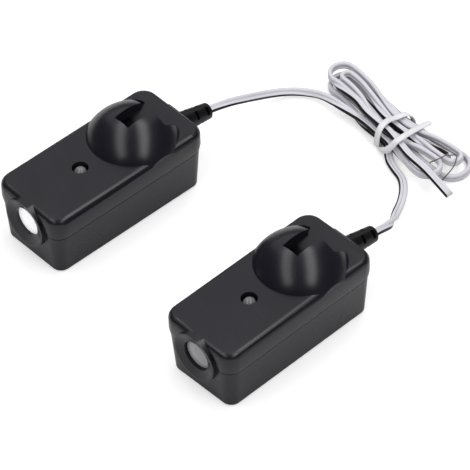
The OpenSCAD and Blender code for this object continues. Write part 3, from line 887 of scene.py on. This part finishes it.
@dataclass(frozen=True)
class BareEnds:
    """Two stripped conductors, each a twist of fine strands that spreads towards its end."""

    routes: tuple[Route, ...] = (
        (
            (110.2, -28.6, 5.4), (110.15, -29.8, 5.8), (110.5, -31.8, 7.2), (109.6, -34.0, 8.7),
            (107.4, -35.8, 8.6), (104.0, -37.1, 7.8), (98.6, -37.4, 6.0),
        ),
        (
            (110.2, -28.6, 3.8), (110.15, -29.8, 4.2), (109.7, -30.7, 5.6), (108.8, -31.0, 7.6),
            (107.2, -31.1, 9.0), (104.0, -30.7, 9.1), (99.8, -29.4, 8.8),
        ),
    )
    strands: int = 7
    strand_r: float = 0.07
    lay_r: float = 0.15
    lay_length: float = 5.0
    spread: float = 0.5
    spread_power: int = 3
    sides: int = 8
    steps: int = 8

    def build(self, finishes: Finishes) -> bpy.types.Object:
        """Makes every strand of both conductors as one piece."""
        ring = np.linspace(0, 2 * math.pi, self.sides, endpoint=False)
        section = self.strand_r * np.c_[np.cos(ring), np.sin(ring)] * MM
        copper = finishes.get(Finishes.COPPER)
        parts = []
        for i, route in enumerate(self.routes):
            core = smooth(np.array(route), self.steps)
            t = ways(core)
            side = unit_rows(np.cross(t, UP))
            up = np.cross(side, t)
            run = gone(core)
            share = (run / run[-1])[:, None]
            away = self.lay_r * (1 + self.spread * share**self.spread_power)
            for k in range(self.strands):
                a = (2 * math.pi * (run / self.lay_length + k / self.strands))[:, None]
                line = core + away * (np.cos(a) * side + np.sin(a) * up)
                parts.append(sweep(f"strand_{i}_{k}", line * MM, side, section, copper))
        piece = joined("receiver_bare_strands", parts)
        return place_on(piece, "copper", "receiver_bare_ends")


@dataclass(frozen=True)
class TwistTie:
    """The plastic-coated strap wrapped twice round the hank, thin wings on both sides of a round core."""

    route: Route = (
        (117.8, -12.2, 6.2), (114.4, -12.0, 6.8), (110.0, -11.8, 7.4), (105.2, -12.5, 8.9),
        (101.2, -13.3, 10.2), (98.1, -13.2, 10.1), (96.2, -12.2, 7.7), (95.4, -10.6, 5.4),
        (95.2, -8.8, 4.1), (95.4, -7.1, 2.9), (96.8, -6.1, 1.2), (98.8, -6.1, 0.8),
        (107.0, -6.0, 0.8), (113.8, -5.6, 0.8), (115.4, -5.0, 1.6), (115.9, -4.4, 3.6),
        (115.1, -3.4, 5.8), (113.0, -2.4, 6.8), (109.2, -1.8, 7.3), (105.8, -1.9, 8.6),
        (102.8, -2.4, 9.5), (99.8, -3.0, 9.3), (97.9, -3.4, 7.4), (97.1, -3.6, 4.4),
        (97.1, -3.5, 1.9), (98.0, -3.2, 0.8), (100.4, -2.9, 0.8), (105.2, -2.0, 0.8),
    )
    width: float = 2.7
    thickness: float = 0.8
    wing: float = 0.5
    wing_round: float = 0.12
    core_foot: float = 0.55
    core_shoulder: float = 0.36
    shoulder_share: float = 0.86
    blunt: float = 0.06
    steps: int = 8

    def outline(self) -> np.ndarray:
        """Points round the strap's section, in millimetres."""
        w, t, g = self.width / 2, self.thickness / 2, self.wing / 2
        top = [
            (w, 0.0),
            (w - self.wing_round, g),
            (self.core_foot, g),
            (self.core_shoulder, t * self.shoulder_share),
            (0.0, t),
        ]
        right = top + [(-x, y) for x, y in top[-2::-1]]
        under = [(x, -y) for x, y in right[-2:0:-1]]
        return np.array(right + under)

    def build(self, finishes: Finishes) -> bpy.types.Object:
        """Makes the strap along its route, with rounded ends."""
        line = smooth(np.array(self.route), self.steps)
        across = np.tile([0.0, 1.0, 0.0], (len(line), 1))
        run = gone(line)
        from_end = np.minimum(run, run[-1] - run)
        share = np.clip(from_end * 2 / self.width, self.blunt, 1.0)
        rounded = np.sqrt(1 - (1 - share) ** 2)
        section = self.outline() * MM
        piece = sweep("hank_tie", line * MM, across, section, finishes.get(Finishes.TIE), rounded)
        return place_on(piece, "tie", "twist_tie")


@dataclass(frozen=True)
class Cords:
    """Both leads with the tie and the bare ends."""

    sender_route: Route = (
        (65.9, 45.7, 12.2, 35.0), (73.9, 45.4, 9.1, 45.0), (81.3, 44.9, 6.1, 45.0),
        (86.6, 44.0, 4.3, 45.0), (91.6, 42.2, 3.0, 45.0), (95.6, 39.4, 2.4, 50.0),
        (98.4, 35.5, 2.6, 60.0), (100.1, 30.6, 3.5, 60.0), (100.6, 24.5, 4.3, 40.0),
        (100.6, 17.5, 4.8, 10.0),
    )
    receiver_route: Route = (
        (63.2, -43.6, 10.8, -145.0), (69.8, -40.1, 6.8, -60.0), (76.0, -35.4, 3.0, 10.0),
        (82.6, -31.4, 1.4, 0.0), (88.1, -27.1, 1.0, 0.0), (91.6, -22.6, 1.0, 0.0),
    )

    def build(self, finishes: Finishes) -> None:
        """Makes every piece of the leads."""
        hank = HankRoute()
        tie = TwistTie().build(finishes)
        bare = BareEnds().build(finishes)
        for lead in (
            Lead(Unit.SENDER, self.sender_route, hank.sender(), first_turn=20.0, stripe_side=-1),
            Lead(Unit.RECEIVER, self.receiver_route, hank.receiver(), first_turn=-160.0),
        ):
            piece, centre = lead.build(finishes)
            LOG.info("cord %s, %.3f m", piece.name, length_of(centre))


# ---------------------------------------------------------------- housings


@dataclass(frozen=True)
class Housing:
    """One photocell's own pieces, shown as the CAD has them."""

    LENSES: ClassVar[dict[Unit, tuple[Finish, str]]] = {
        Unit.SENDER: (Finishes.PALE_LENS, "lens_pale"),
        Unit.RECEIVER: (Finishes.GREY_LENS, "lens_grey"),
    }
    PARTS: ClassVar[dict[str, tuple[Finish, str]]] = {
        "base": (Finishes.HOUSING, "housing"),
        "cover": (Finishes.HOUSING, "housing"),
        "lens_gasket": (Finishes.GASKET, "gasket"),
        "circuit_board": (Finishes.BOARD, "board"),
        "emitter": (Finishes.EMITTER, "emitter"),
        "photodiode": (Finishes.DARK_RESIN, "photodiode"),
        "shield_can": (Finishes.TIN, "can"),
        "driver_transistor": (Finishes.BLACK_PART, "component_black"),
        "indicator_led": (Finishes.CLEAR, "clear_resin"),
        "led_spacer": (Finishes.BLACK_PART, "component_black"),
        "chip": (Finishes.BLACK_PART, "component_black"),
        "capacitor": (Finishes.SLEEVE, "capacitor_sleeve"),
        "resistors": (Finishes.LACQUER, "resistor_body"),
        "wire_tails": (Finishes.WIRE, "lead"),
        "strain_relief": (Finishes.RELIEF, "relief"),
    }
    OUTER: ClassVar[tuple[str, ...]] = ("base", "cover", "strain_relief")

    which: Unit
    soft: Softened = Softened()
    fine: Softened = Softened(radius=0.08 * MM)

    def build(self, nodes: dict[str, bpy.types.Object], finishes: Finishes) -> None:
        """Dresses every CAD node of this unit; some parts are in one unit only.

        Args:
            nodes: the CAD nodes by name.
            finishes: the object's finishes.
        """
        parts = {"lens": self.LENSES[self.which], **self.PARTS}
        for part, (finish, slot) in parts.items():
            node = nodes.get(f"{self.which.word}_{part}")
            if node is None:
                continue
            style = self.soft if part in self.OUTER else self.fine
            style.dress(node, finishes.get(finish), slot)


def main() -> None:
    """Builds the camera, the cords, the housings and the studio, in that order."""
    logging.basicConfig(level=logging.INFO, format="%(name)s %(message)s")
    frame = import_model()
    finishes = Finishes()
    PhotoCamera().build()
    Cords().build(finishes)
    for which in Unit:
        Housing(which).build(frame["nodes"], finishes)
    Studio().build()


if __name__ == "__main__":
    main()
